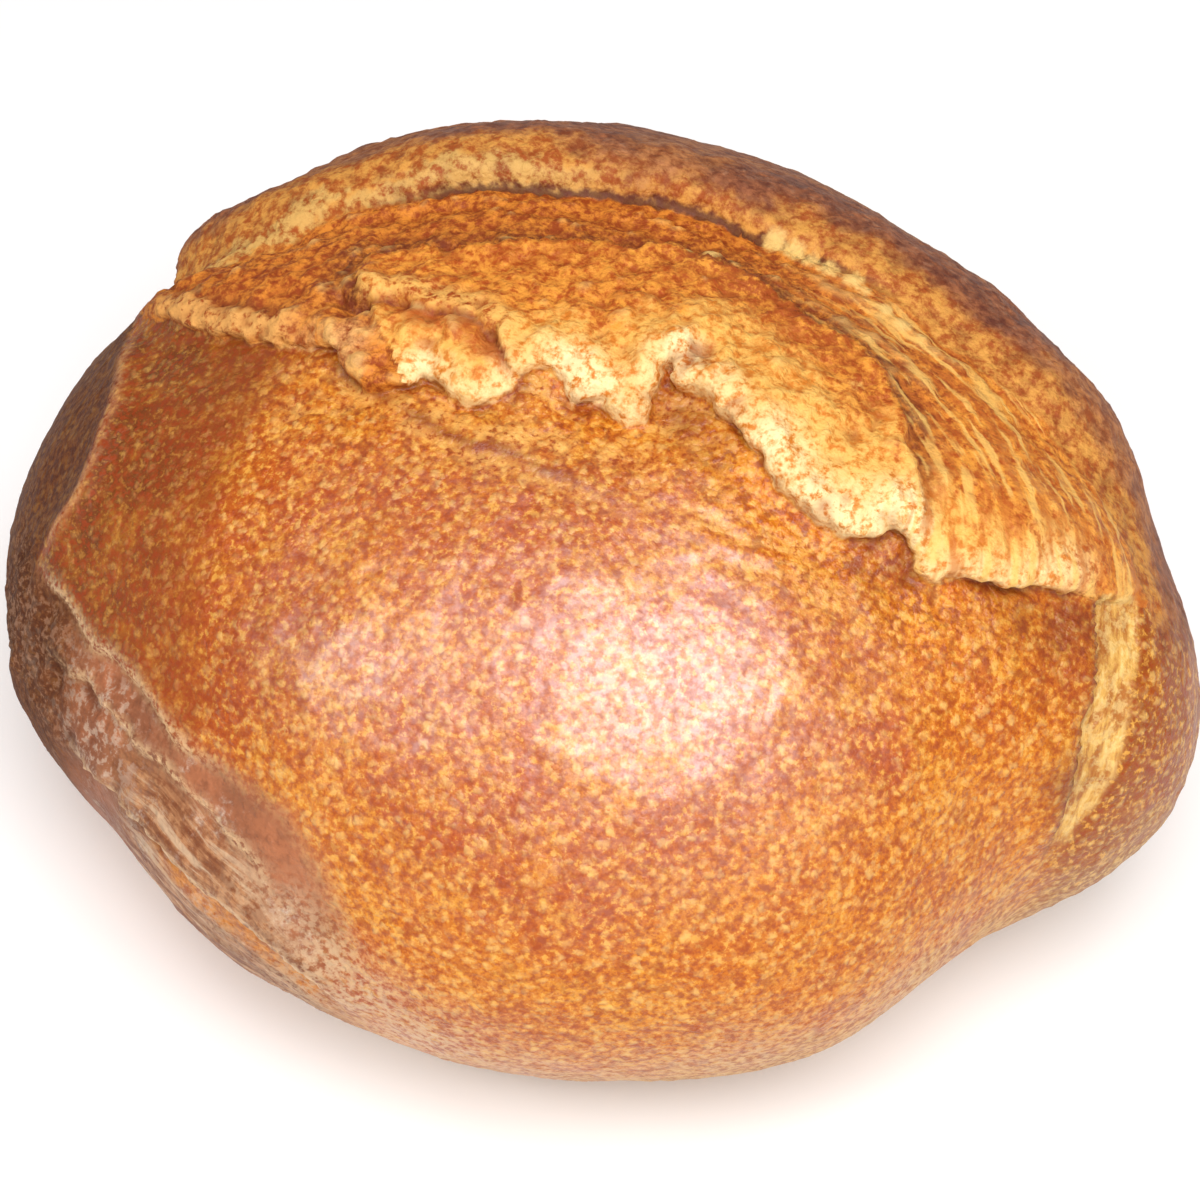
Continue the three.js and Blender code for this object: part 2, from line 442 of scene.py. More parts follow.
def lap_sheet(relief, lip):
    """The main sheet of torn dough, which laps over a smaller roll in front of it."""
    x = relief.points[:, 0]
    roll, along, sideways = relief.seam(ROLL_CREASE)
    roll = roll + 1.0 * relief.noise(4.6, 43) + 0.5 * relief.noise(2.2, 44)
    fade = smooth(0, 0.12, along) * smooth(1, 0.88, along) * smooth(-0.5, 1.0, lip)
    relief.height += 1.5 * fade * smooth(-0.5, 0.9, roll) * smooth(13, 2, roll)
    relief.height += 0.8 * fade * hump(roll + 6.5, 3.6)
    relief.height -= 1.0 * fade * hump(roll + 1.2, 1.3)
    relief.lean_over(-sideways, 0.8 * fade * hump(roll - 0.7, 1.0))
    # Left of the roll, a thin tongue of dough lies along the lip
    tongue = relief.on_crown * smooth(-99, -88, x) * smooth(-56, -63, x)
    waver = lip + 0.8 * relief.noise(5, 48)
    behind_tongue = tongue * hump(waver - 6.6, 1.0)
    relief.height += 0.9 * tongue * smooth(0, 1.5, waver) * smooth(6.5, 4.5, waver) - 0.6 * behind_tongue
    # The crease mask is painted shade, in the crease under the lapping sheet and in the groove behind
    # the tongue
    relief.masks.update(
        tongue=tongue * smooth(0, 1, waver) * smooth(6.2, 5.0, waver),
        crease=np.maximum(fade * hump(roll + 0.9, 0.9), 0.8 * behind_tongue),
        sheet=fade * smooth(0, 1, roll) * smooth(7, 3, roll),
        roll_top=fade * smooth(-7.5, -3, roll) * smooth(0.5, -1, roll) * smooth(-46, -36, x))


def tear_opening(relief, lip, crack):
    """The torn dough: grains, puffs and strands, with a hollow behind the top layer."""
    x, y, _ = relief.points.T
    opening = relief.on_crown * smooth(-0.5, 0.5, lip) * smooth(0.5, -0.5, crack)
    opening *= smooth(-104, -92, x)
    step, _, _ = relief.seam(INNER_STEP)
    step = step + 1.3 * relief.noise(5, 10) + 0.5 * relief.noise(2.2, 23)
    behind = np.maximum(smooth(-0.8, 0.8, step), smooth(-50, -56, x)) * smooth(68, 58, x)
    relief.height -= 1.5 * opening * behind * smooth(26, 4, step) * smooth(-60, -50, x)
    relief.height += 0.9 * opening * (1 - behind) * hump(step + 1.5, 2.5)

    # Strands follow arcs round the opening's middle, and run out of the cream dough
    centre = (6, -18)
    half_length = np.where(x > centre[0], 92, 116)
    across, along = (y - centre[1]) / 68, (x - centre[0]) / half_length
    arc, bearing = np.hypot(across, along) * 68, np.arctan2(across, along) * 60
    flow = np.stack([bearing, arc + 1.6 * relief.noise(15, 5), np.zeros_like(x)], axis=1)
    stretched = opening * np.maximum(smooth(50, 68, x), smooth(14, 34, x) * behind)
    strands = relief.ridged(flow, (34, 6.4, 9), 6) + 0.5 * relief.ridged(flow, (22, 3.6, 9), 7)
    relief.add_fine(0.5 * stretched * strands)
    relief.add_fine(0.35 * stretched * fractal(relief.points, 3.6, 41, 2))
    fine_strands = relief.ridged(flow, (24, 2.2, 9), 24)
    relief.add_fine(0.14 * (opening - stretched) * fine_strands)

    loose = opening * (1 - 0.65 * stretched)
    relief.add_fine(0.85 * loose * fractal(relief.points, 4.0, 8, 3))
    relief.add_fine(-0.5 * loose * relief.ridged(relief.points, 3.2, 37))
    puffs = relief.ridged(relief.points, (9, 12, 12), 9)
    relief.add_fine(0.8 * loose * puffs * smooth(34, 6, lip) * smooth(-66, -52, x))
    layers = np.abs((flow[:, 1] / 7.0) % 1 - 0.5) * 2
    relief.add_fine(0.55 * opening * behind * smooth(0.45, 0.95, layers))

    cream = np.interp(x, *np.transpose(CREAM_DEPTH)) - lip
    cream = np.minimum(cream, -step + 30 * (np.abs(x - 5) > 58))
    relief.masks.update(
        opening=opening, arc=arc, bearing=bearing, cream=cream, stretched=stretched, step=step,
        behind=behind * opening)
    return opening


def lift_ear(relief, crack, along):
    """The crack, and the soft ear that swells up behind it, most on the left."""
    y = relief.points[:, 1]
    lifted = smooth(0.0, 0.12, along) * smooth(0.72, 0.5, along)
    split = smooth(0.2, 0.4, along) * smooth(0.72, 0.62, along)
    waver = crack + 1.0 * relief.noise(9, 12) + 0.5 * relief.noise(3, 25)
    relief.height -= relief.on_crown * split * (2.0 * hump(waver, 1.1) + 0.9 * hump(waver + 3, 4))
    relief.height += 1.7 * relief.on_crown * lifted * smooth(-0.5, 3.5, waver) * smooth(24, 6, waver)
    rough = smooth(-1, 2, crack) * smooth(96, 70, y)
    relief.add_fine(0.5 * relief.on_crown * rough * fractal(relief.points, 5.2, 13, 3))
    relief.masks.update(crack=waver, lifted=lifted, split=split)


def split_shoulder(relief):
    """The burst: a pale strip let in below the front crust's edge."""
    front, along, sideways = relief.seam(BURST_FRONT)
    end, _, _ = relief.seam(BURST_END)
    front = front + 0.5 * relief.noise(5, 26)
    end = end + 1.0 * relief.noise(5, 27)
    fade = smooth(0, 0.05, along) * smooth(1, 0.75, along)
    strip = smooth(-0.4, 0.6, front) * smooth(2.5, -2.5, end) * fade
    relief.height += 1.5 * fade * smooth(0.4, -0.6, front) * smooth(-10, -1, front)
    strings = np.stack([along * 60, front, np.zeros_like(front)], axis=1)
    relief.height -= 1.2 * strip
    relief.add_fine(0.45 * strip * relief.ridged(strings, (22, 2.2, 5), 39))
    relief.lean_over(sideways, 0.9 * fade * hump(front + 0.4, 0.9))
    relief.masks.update(burst=strip, burst_down=along * 60, burst_across=front)


def fold_flank(relief):
    """A ridge round the left end, and folds of skin between flat facets along the flank below."""
    x, y, z = relief.points.T
    ridge, along, _ = relief.seam(LEFT_RIDGE)
    ridge_fade = smooth(0, 0.12, along) * smooth(1, 0.85, along)
    relief.height += 1.9 * ridge_fade * hump(ridge, 3.6)
    wavering = ridge + 1.0 * relief.noise(7, 42)
    # The crest masks place painted highlights along the left ridge and the fold edges
    relief.masks["crest_3"] = ridge_fade * hump(wavering, 1.1)
    relief.height -= 1.2 * smooth(-2, -14, ridge) * smooth(-84, -100, x) * (x < 0)
    folds = (  # line, rise, how far up it swells, and where along it starts to fade
        (UPPER_FOLD, 1.5, 12, 0.45), (MIDDLE_FOLD, 1.2, 11, 0.75), (LOWER_FOLD, 1.7, 10, 0.8),
    )
    above = []
    for i, (line, rise, width, ends) in enumerate(folds):
        fold, way, sideways = relief.seam(line)
        fold = fold + 1.2 * relief.noise(9, 28 + i) + 0.5 * relief.noise(3.4, 31 + i)
        fade = smooth(0, 0.1, way) * (0.15 + 0.85 * smooth(ends + 0.2, ends, way))
        fade = fade * smooth(1, 0.9, way)
        relief.height += rise * fade * smooth(-1.3, 1.3, fold) * smooth(width, 1, fold)
        relief.height -= 0.45 * rise * fade * hump(fold + 2.2, 3.0)
        relief.lean_over(-sideways, 0.2 * rise * fade * hump(fold - 0.6, 1.8))
        above.append(fold)
        # Painted highlight along each fold's edge
        relief.masks[f"crest_{i}"] = fade * hump(fold - 0.6, 1.2 + 0.5 * (i == 0))
    upper, middle, low_fold = above
    flank = smooth(1.0 + 5 * smooth(-62, -40, x), -2, upper) * smooth(-60, -44, upper)
    flank *= smooth(-6, -24, x) * smooth(-30, -50, y)
    flank *= 1 - smooth(-72, -88, x) * smooth(44, 24, z)
    # Below the folds, the skin is drawn out in streaks that run level round the flank
    across, _, height = np.transpose(LOWER_FOLD)
    drop = z - np.interp(x, across, height) + 1.2 * relief.noise(16, 40)
    stream = np.stack([x, drop, np.zeros_like(x)], axis=1)
    drawn = flank * smooth(1, -5, middle) * smooth(-74, -62, x)
    relief.add_fine(0.55 * drawn * relief.ridged(stream, (26, 4.6, 5), 15))
    crumbled = flank * smooth(-56, -70, x) * smooth(0, -6, upper) * smooth(-32, -22, upper)
    relief.add_fine(1.1 * crumbled * fractal(relief.points, 5, 33, 2))
    # The painted shade beyond the ridge has a crisp edge at the top and runs out softly below
    runs_out = smooth(54, 30, z)
    beyond = smooth(1.5 + 9 * runs_out, -2.5 - 12 * runs_out, ridge + 5 * runs_out * relief.noise(9, 49))
    # Painted shade over the left end and the flank's left part, which face away from the lamps, on a
    # crust a little darker there as well
    shaded_end = np.maximum(beyond * smooth(-82, -90, x), 0.9 * flank * smooth(-76, -90, x))
    relief.masks.update(
        low_fold=low_fold, flank=flank, crumbled=crumbled, drawn=drawn, drop=drop,
        left_end=shaded_end * smooth(46, -8, y + 9 * relief.noise(22, 45))
        * smooth(12, 56, z + 10 * relief.noise(20, 46)),
        # The left shoulder mask is painted shade on the slope that turns away from the lamps
        left_shoulder=smooth(-1, 2, ridge) * smooth(60, 75, z)
        * smooth(-55, -65, x + 0.3 * np.minimum(y + 45, 0) + 2.5 * relief.noise(9, 47)))


def strain_crust(relief, lip):
    """Short splits where the crust was pulled just in front of the lip, and one longer mark."""
    x = relief.points[:, 0]
    near = smooth(-24, -7, lip) * smooth(0, -1.5, lip) * smooth(-66, -46, x) * smooth(70, 40, x)
    splits = near * relief.on_crown * smooth(0.5, 0.85, relief.ridged(
        relief.points, (15, 3.8, 8), 16)) * smooth(-0.3, 0.3, relief.noise(16, 34))
    mark, along, _ = relief.seam(STRETCH_MARK)
    mark = mark + 0.8 * relief.noise(6, 35)
    fade = smooth(0, 0.15, along) * smooth(1, 0.7, along)
    broken = smooth(-0.5, 0.1, relief.noise(9, 38))
    pulled = fade * broken * hump(mark + 1.8, 1.6)
    relief.height += 0.45 * fade * smooth(-0.8, 0.8, mark) * smooth(9, 1, mark)
    relief.add_fine(-0.4 * pulled - 0.7 * splits)
    strained = 0.9 * spotted(relief, STRAINED)
    relief.add_fine(0.5 * strained)
    relief.masks.update(
        splits=np.maximum(np.maximum(0.7 * splits, 0.6 * pulled), strained),
        mark=relief.on_crown * fade * broken * hump(mark - 0.4, 1.1))


def sculpt(skin, points, normals):
    """The loaf's points with all their relief, and the masks that its finish reads."""
    relief = Relief(skin, points, normals)
    crack, crack_along, _ = relief.seam(BACK_CRACK)
    shape_dough(relief)
    lip = raise_lip(relief)
    lap_sheet(relief, lip)
    opening = tear_opening(relief, lip, crack)
    lift_ear(relief, crack, crack_along)
    split_shoulder(relief)
    fold_flank(relief)
    strain_crust(relief, lip)
    for name, spots in (("scorched", SCORCHED_AND_SHADED), ("ample", AMPLE_CREAM), ("dabs", FLOUR_DABS),
                        ("floured", FLOURED), ("toasted", TOASTED)):
        relief.masks[name] = spotted(relief, spots)
    relief.height += 0.9 * relief.masks["dabs"]
    relief.masks.update(
        fine=relief.fine,
        crust=smooth(1, 9, points[:, 2]) * (1 - 0.6 * opening) * (1 - 0.5 * relief.masks["flank"]))
    return relief.made(), relief.masks


# ---------------------------------------------------------------- nodes, in plain calls


def paint(red, green, blue):
    """A colour named as 0 to 255 on a screen, as the linear one that a socket takes."""
    linear = [((c / 255 + 0.055) / 1.055) ** 2.4 for c in (red, green, blue)]
    return (*linear, 1)


class Wiring:
    """Adds nodes to one tree. A socket given as an input is linked, and a value is set."""

    def __init__(self, tree):
        self.tree = tree

    def node(self, kind, inputs=(), **settings):
        node = self.tree.nodes.new(kind)
        for name, value in settings.items():
            setattr(node, name, value)
        for key, value in dict(inputs).items():
            if isinstance(value, bpy.types.NodeSocket):
                self.tree.links.new(value, node.inputs[key])
            else:
                node.inputs[key].default_value = value
        return node

    def add(self, kind, inputs=(), outlet=0, **settings):
        """As node, but gives one of its outputs."""
        return self.node(kind, inputs, **settings).outputs[outlet]

    def math(self, operation, a, b=0.0):
        kind = "ShaderNodeMath"
        return self.add(kind, {0: a, 1: b}, operation=operation)

    def times(self, first, *others):
        for other in others:
            first = self.math("MULTIPLY", first, other)
        return first

    def plus(self, first, *others):
        for other in others:
            first = self.math("ADD", first, other)
        return first

    def span(self, value, start, end, low=0.0, high=1.0):
        """Goes smoothly from low, where value is start, to high, where it is end."""
        ends = {"Value": value, "From Min": start, "From Max": end, "To Min": low, "To Max": high}
        return self.add("ShaderNodeMapRange", ends, interpolation_type="SMOOTHSTEP")

    def noise(self, place, size, detail=2.0, roughness=0.5):
        inputs = {"Vector": place, "Scale": 1 / size, "Detail": detail, "Roughness": roughness}
        return self.add("ShaderNodeTexNoise", inputs)

    def blend(self, share, under, over):
        """The over colour on the under one, by that share."""
        inputs = {0: share, 6: under, 7: over}
        return self.add("ShaderNodeMix", inputs, 2, data_type="RGBA")

    def graded(self, value, start, end, first, last):
        """Goes from the first colour to the last as value goes from start to end."""
        return self.blend(self.span(value, start, end), paint(*first), paint(*last))

    def layers(self, base, coats):
        """The base colour under coats of others: each a colour, and shares to be multiplied."""
        for colour, *shares in coats:
            if isinstance(colour, tuple):
                colour = paint(*colour)
            base = self.blend(self.times(*shares), base, colour)
        return base

    def attribute(self, name):
        return self.add("ShaderNodeAttribute", (), "Fac", attribute_name=name)


def new_group(name, kind, takes, gives):
    """An empty node group with those named sockets, with its wiring, inputs and output node."""
    tree = bpy.data.node_groups.new(name, kind)
    for socket, (socket_kind, value) in takes.items():
        made = tree.interface.new_socket(socket, in_out="INPUT", socket_type=socket_kind)
        if value is not None:
            made.default_value = value
    for socket, socket_kind in gives.items():
        tree.interface.new_socket(socket, in_out="OUTPUT", socket_type=socket_kind)
    return tree, Wiring(tree), tree.nodes.new("NodeGroupInput").outputs, tree.nodes.new(
        "NodeGroupOutput").inputs


# ---------------------------------------------------------------- blisters and grain


def crust_relief_tree():
    """Raises small blisters and grain on the crust, as far as its crust attribute says."""
    takes = {
        "Geometry": ("NodeSocketGeometry", None),
        "Blister size": ("NodeSocketFloat", 0.004),
        "Blister height": ("NodeSocketFloat", 0.0003),
        "Grain size": ("NodeSocketFloat", 0.003),
        "Grain height": ("NodeSocketFloat", 0.0002),
        "Seed": ("NodeSocketFloat", 0.0),
        "Finish": ("NodeSocketMaterial", None),
    }
    tree, wire, given, result = new_group(
        "crust_relief", "GeometryNodeTree", takes, {"Geometry": "NodeSocketGeometry"})
    place = wire.add("GeometryNodeInputPosition")
    amount = wire.add("GeometryNodeInputNamedAttribute", {"Name": "crust"})

    def fineness(size):
        return wire.math("DIVIDE", 1.0, size)

    cell = wire.add("ShaderNodeTexVoronoi", {
        "Vector": place, "W": given["Seed"], "Scale": fineness(given["Blister size"])},
        "Distance", voronoi_dimensions="4D")
    blister = wire.times(wire.span(cell, 0.5, 0.1), given["Blister height"])
    grain = wire.add("ShaderNodeTexNoise", {
        "Vector": place, "W": given["Seed"], "Scale": fineness(given["Grain size"])},
        noise_dimensions="4D")
    grain = wire.times(wire.math("SUBTRACT", grain, 0.5), given["Grain height"])
    rise = wire.times(wire.plus(blister, grain), amount)
    offset = wire.add("ShaderNodeVectorMath", {
        0: wire.add("GeometryNodeInputNormal"), "Scale": rise}, operation="SCALE")
    raised = wire.add("GeometryNodeSetPosition", {
        "Geometry": given["Geometry"], "Offset": offset})
    whole = wire.add("GeometryNodeRealizeInstances", {"Geometry": raised})
    finished = wire.add("GeometryNodeSetMaterial", {
        "Geometry": whole, "Material": given["Finish"]})
    tree.links.new(finished, result["Geometry"])
    return tree


def baked(draft, finish):
    """The draft loaf as a plain mesh, with the crust's relief worked into it."""
    tree = crust_relief_tree()
    modifier = draft.modifiers.new("crust_relief", "NODES")
    modifier.node_group = tree
    sizes = {
        "Blister size": 4.2 * MM, "Blister height": 0.22 * MM, "Grain size": 2.6 * MM,
        "Grain height": 0.45 * MM, "Seed": float(SEED), "Finish": finish,
    }
    for socket in tree.interface.items_tree:
        if socket.in_out == "INPUT" and socket.name in sizes:
            modifier[socket.identifier] = sizes[socket.name]
    evaluated = draft.evaluated_get(bpy.context.evaluated_depsgraph_get())
    mesh = bpy.data.meshes.new_from_object(evaluated)
    bpy.data.objects.remove(draft)
    loaf = bpy.data.objects.new("sourdough_loaf", mesh)
    bpy.context.scene.collection.objects.link(loaf)
    return loaf


# ---------------------------------------------------------------- finish


def speckle_group():
    """Blistered crust: pale domes, partly paler blisters and partly painted glints, the dark gaps
    between them, and a fine tonal grain.
    """
    takes = {
        "Place": ("NodeSocketVector", None), "Size": ("NodeSocketFloat", 0.002),
        "Patchiness": ("NodeSocketFloat", 0.5),
    }
    gives = {name: "NodeSocketFloat" for name in ("Light", "Dark", "Grain", "Height")}
    tree, wire, given, result = new_group("crust_speckle", "ShaderNodeTree", takes, gives)
    fineness = wire.math("DIVIDE", 1.0, given["Size"])

    def noise(share, detail, outlet="Fac"):
        return wire.add("ShaderNodeTexNoise", {
            "Vector": given["Place"], "Scale": wire.times(fineness, share), "Detail": detail,
            "Roughness": 0.62}, outlet)

    # The cells are pushed about, so that no two blisters are alike
    push = wire.add("ShaderNodeVectorMath", {0: noise(0.9, 2.0, "Color"), 1: (0.5, 0.5, 0.5)},
                    operation="SUBTRACT")
    push = wire.add("ShaderNodeVectorMath", {0: push, "Scale": wire.times(given["Size"], 1.5)},
                    operation="SCALE")
    pushed = wire.add("ShaderNodeVectorMath", {0: given["Place"], 1: push})
    cell = wire.node("ShaderNodeTexVoronoi", {"Vector": pushed, "Scale": fineness}).outputs
    dome = wire.span(cell["Distance"], 0.66, 0.1)
    level = wire.times(wire.math("SUBTRACT", 0.5, noise(0.2, 3.0)), given["Patchiness"])
    chosen = wire.span(wire.plus(cell["Color"], level), 0.25, 0.85)
    gap = wire.span(cell["Distance"], 0.42, 0.72)
    uneven = wire.span(noise(0.55, 3.0), 0.42, 0.62)
    grain = noise(1.4, 4.0)
    tree.links.new(wire.times(dome, chosen), result["Light"])
    tree.links.new(wire.math("MAXIMUM", wire.times(gap, uneven), wire.span(grain, 0.58, 0.72)),
                   result["Dark"])
    tree.links.new(grain, result["Grain"])
    tree.links.new(wire.plus(wire.times(dome, 0.8), wire.times(grain, 0.9)), result["Height"])
    return tree


def flour_group():
    """Where dry flour clings: drifts, broken up by fine grains."""
    takes = {
        "Place": ("NodeSocketVector", None), "Drift size": ("NodeSocketFloat", 0.012),
        "Amount": ("NodeSocketFloat", 0.5),
    }
    tree, wire, given, result = new_group(
        "flour_dusting", "ShaderNodeTree", takes, {"Cover": "NodeSocketFloat"})
    fineness = wire.math("DIVIDE", 1.0, given["Drift size"])
    drift = wire.add("ShaderNodeTexNoise", {
        "Vector": given["Place"], "Scale": fineness, "Detail": 5.0, "Roughness": 0.6})
    grains = wire.noise(given["Place"], 1.1 * MM, 3.0, 0.7)
    level = wire.plus(wire.times(drift, 0.65), wire.times(grains, 0.35),
                      wire.math("SUBTRACT", given["Amount"], 0.5))
    tree.links.new(wire.span(level, 0.46, 0.66), result["Cover"])
    return tree


def closed_crust(wire, place, mask):
    """The closed crust: orange and speckled, ruddier to the left, golden low down on the right."""
    bake = wire.noise(place, 34 * MM, 4.0, 0.55)
    ruddy = wire.plus(bake, wire.span(mask.x, 0.05, -0.09, 0, 0.12),
                      wire.span(mask.z, 0.06, 0.115, -0.08, 0.05))
    near_lip = wire.times(wire.span(mask.lip, -24, -6), mask.crown)
    blotch = wire.noise(place, 7 * MM, 4.0, 0.65)
    cluster = wire.noise(place, 16 * MM, 3.0, 0.6)
    # Fewer pale flecks and glints show in the left shoulder's painted shade
    few = wire.span(mask.left_shoulder, 0, 1, 1, 0.35)
    return wire.layers(wire.graded(ruddy, 0.36, 0.66, (202, 116, 13), (181, 86, 9)), (
        ((210, 134, 37), near_lip, 0.3),
        ((166, 59, 1), wire.span(cluster, 0.52, 0.66), 0.25),
        ((211, 134, 30), wire.span(cluster, 0.48, 0.36), 0.45),
        ((166, 61, 1), wire.span(blotch, 0.5, 0.68), 0.3),
        ((216, 147, 44), wire.span(blotch, 0.48, 0.32), 0.5),
        ((145, 76, 16), wire.span(mask.x, 0.096, 0.106), wire.span(blotch, 0.3, 0.6, 0.65, 1)),
        # Painted shade on the left shoulder, deepest near the ridge
        ((106, 50, 5), mask.left_shoulder, wire.span(blotch, 0.3, 0.6, 0.6, 1),
         wire.span(mask.x, -0.055, -0.088, 0.55, 1)),
        ((153, 55, 2), wire.span(mask.grain, 0.5, 0.6, 0, 0.6)),
        ((225, 163, 66), wire.span(mask.grain, 0.48, 0.36), few, 0.75),
        ((134, 47, 3), mask.dark, 0.45),
        # Pale blisters, with painted glints on them
        ((231, 187, 105), mask.light, few, 0.55),
        ((127, 61, 32), near_lip, mask.dark, 0.5),
        ((233, 179, 96), mask.splits, wire.span(mask.grain, 0.66, 0.5), 0.9),
        ((122, 50, 11), mask.mark, 0.8),
        # Painted shade in the gap under the lip's overhanging edge
        ((114, 44, 10), wire.span(mask.lip, -4.0, -0.6), mask.crown, mask.gap, 0.7),
    ))


def torn_dough(wire, place, mask):
    """Torn dough: cream at the lip, golden and granular behind, in strands on the right."""
    grain = wire.noise(place, 2.0 * MM, 4.0, 0.68)
    mottle = wire.noise(place, 6 * MM, 4.0, 0.62)
    golden = wire.layers(wire.graded(grain, 0.36, 0.62, (168, 74, 11), (227, 149, 53)), (
        ((158, 65, 9), wire.span(mottle, 0.47, 0.64), 0.55),
    ))
    pale = wire.layers(wire.graded(grain, 0.34, 0.6, (201, 117, 32), (235, 179, 88)), (
        ((203, 116, 28), wire.span(mottle, 0.52, 0.68), 0.5),
    ))
    ragged = wire.plus(mask.cream, wire.times(wire.math("SUBTRACT", mottle, 0.5), 26))
    rim = wire.times(wire.span(mask.lip, 8, 0.5), wire.span(ragged, 2, 8),
                     wire.span(mask.x, -0.07, -0.05))
    bright = wire.plus(wire.times(rim, 0.8), wire.span(mask.ample, 0.15, 0.75))
    butter = wire.graded(mask.lip, 12, 4, (233, 182, 96), (244, 216, 158))
    flecks = wire.times(wire.span(mask.grain, 0.54, 0.64), wire.span(mottle, 0.4, 0.6, 0.2, 1))
    browned = wire.graded(grain, 0.38, 0.64, (137, 55, 9), (209, 123, 37))
    drawn = wire.times(mask.stretched, 0.9)
    return wire.layers(golden, (
        (pale, wire.span(ragged, -3, 6)),
        (butter, bright, wire.span(grain, 0.34, 0.58), 0.9),
        ((205, 122, 36), flecks, 0.5),
        ((154, 70, 20), mask.toasted, wire.span(grain, 0.66, 0.46), 0.85),
        ((234, 182, 96), mask.sheet, wire.span(grain, 0.34, 0.54), 0.7),
        ((172, 80, 26), mask.roll_top, wire.span(mottle, 0.34, 0.5), 0.75),
        (browned, mask.behind, 0.75),
        # Painted shade in the hollow just behind the top layer's edge
        ((96, 39, 12), mask.behind, wire.span(mask.step, 9, 1), wire.span(grain, 0.8, 0.4), 0.8),
        ((216, 160, 88), mask.tongue, wire.span(grain, 0.34, 0.52), 0.8),
        # Painted shade in the crease under the sheet and behind the tongue
        ((106, 42, 12), mask.crease, 0.85),
        ((184, 100, 32), wire.span(mask.strands, 0.5, 0.36), drawn, 0.75),
        ((238, 190, 100), wire.span(mask.strands, 0.5, 0.62), drawn,
         wire.span(mask.x, 0.025, 0.055, 0.25, 0.75)),
        # Painted shade in the hollows between the grains, and a painted highlight on their crests
        ((143, 61, 12), wire.span(mask.fine, 0.0, -1.2, 0, 0.75)),
        ((244, 200, 118), wire.span(mask.fine, 0.4, 1.5, 0, 0.45)),
    ))


def risen_ear(wire, place, mask):
    """Behind the crack: a floury pale band, then gold, then deep brown over the back."""
    grain = wire.noise(place, 2.6 * MM, 4.0, 0.68)
    mottle = wire.noise(place, 8 * MM, 3.0, 0.6)
    bake = wire.noise(place, 40 * MM, 3.0, 0.5)
    tawny = wire.graded(grain, 0.36, 0.64, (139, 73, 32), (189, 125, 71))
    back = wire.layers(wire.graded(grain, 0.3, 0.7, (98, 45, 26), (166, 101, 63)), (
        ((182, 132, 99), mask.light, 0.5),
        ((84, 37, 26), wire.span(mottle, 0.46, 0.7), 0.5),
        (tawny, wire.span(wire.plus(bake, wire.times(mask.z, -1.6)), 0.42, 0.3, 0.75, 0)),
    ))
    away = wire.plus(mask.crack, wire.times(wire.math("SUBTRACT", mottle, 0.5), 14))
    left = wire.times(wire.span(mask.x, -0.045, -0.08), wire.span(mask.z, 0.08, 0.1))
    reach = wire.plus(away, wire.span(mask.x, -0.03, -0.012, 0, 6),
                      wire.span(mask.x, 0.004, 0.03, 0, -5), wire.times(left, -7))
    near = wire.plus(away, wire.times(left, -3))
    pale = wire.times(wire.span(near, 6.0, 3.0), wire.span(away, -1.0, 0.5), mask.lifted,
                      wire.span(grain, 0.34, 0.54), wire.span(mottle, 0.68, 0.52),
                      wire.span(mask.x, -0.008, -0.032))
    return wire.layers(back, (
        (wire.graded(grain, 0.36, 0.64, (157, 75, 20), (210, 147, 65)), wire.span(reach, 14, 7)),
        (wire.graded(grain, 0.3, 0.6, (138, 100, 50), (206, 164, 92)), pale, 0.78),
        # Painted shade in the hollows of the ear's rough relief
        ((84, 35, 20), wire.span(mask.fine, 0.1, -0.9, 0, 0.7)),
    ))


def burst_strip(wire, place, mask):
    """The burst's pale dough, drawn out into yellow strings from under the front crust."""
    down = wire.add("ShaderNodeCombineXYZ", {
        "X": wire.times(mask.burst_down, 0.11), "Y": wire.times(mask.burst_across, 0.42)})
    strings = wire.noise(down, 1.0, 4.0, 0.65)
    grain = wire.noise(place, 2.2 * MM, 4.0, 0.65)
    return wire.layers(wire.graded(strings, 0.38, 0.6, (172, 104, 40), (222, 172, 86)), (
        ((238, 206, 132), wire.span(grain, 0.45, 0.6), 0.5),
        ((244, 218, 150), wire.span(strings, 0.56, 0.7), 0.6),
        # Painted shade in the strip just under the front crust's overhanging edge
        ((116, 56, 20), wire.span(mask.burst_across, 2.6, 0.4), 0.85),
    ))


def floury_flank(wire, place, mask):
    """The folded flank: dull mauve-brown skin with pale streaks, gold where a fold has opened."""
    tone = wire.noise(place, 14 * MM, 3.0)
    grain = wire.noise(place, 2.4 * MM, 4.0, 0.65)
    stream = wire.add("ShaderNodeCombineXYZ", {
        "X": wire.times(mask.x, 45), "Y": wire.times(mask.drop, 0.34)})
    streaks = wire.noise(stream, 1.0, 5.0, 0.65)
    tan = wire.graded(grain, 0.4, 0.6, (137, 83, 46), (187, 134, 89))
    gold = wire.graded(grain, 0.36, 0.64, (174, 87, 18), (224, 143, 48))
    opened = wire.times(wire.span(mask.low_fold, 1.5, -1.5), wire.span(mask.low_fold, -11, -6),
                        wire.span(mask.x, -0.062, -0.048), wire.span(mask.x, -0.014, -0.022))
    return wire.layers(wire.graded(tone, 0.35, 0.65, (133, 79, 50), (167, 101, 64)), (
        ((113, 59, 32), wire.span(grain, 0.45, 0.7, 0, 0.45)),
        (tan, mask.drawn, 0.75),
        ((110, 53, 20), wire.span(streaks, 0.52, 0.42), mask.drawn, 0.75),
        ((206, 177, 143), wire.span(streaks, 0.52, 0.62), mask.drawn, 0.65),
        (gold, opened, 0.85),
        ((191, 160, 136), mask.crumbled, wire.span(grain, 0.5, 0.4), 0.7),
        # Painted shade in the hollows of the folds' small relief
        ((102, 51, 26), wire.span(mask.fine, 0.0, -0.8, 0, 0.7)),
    ))


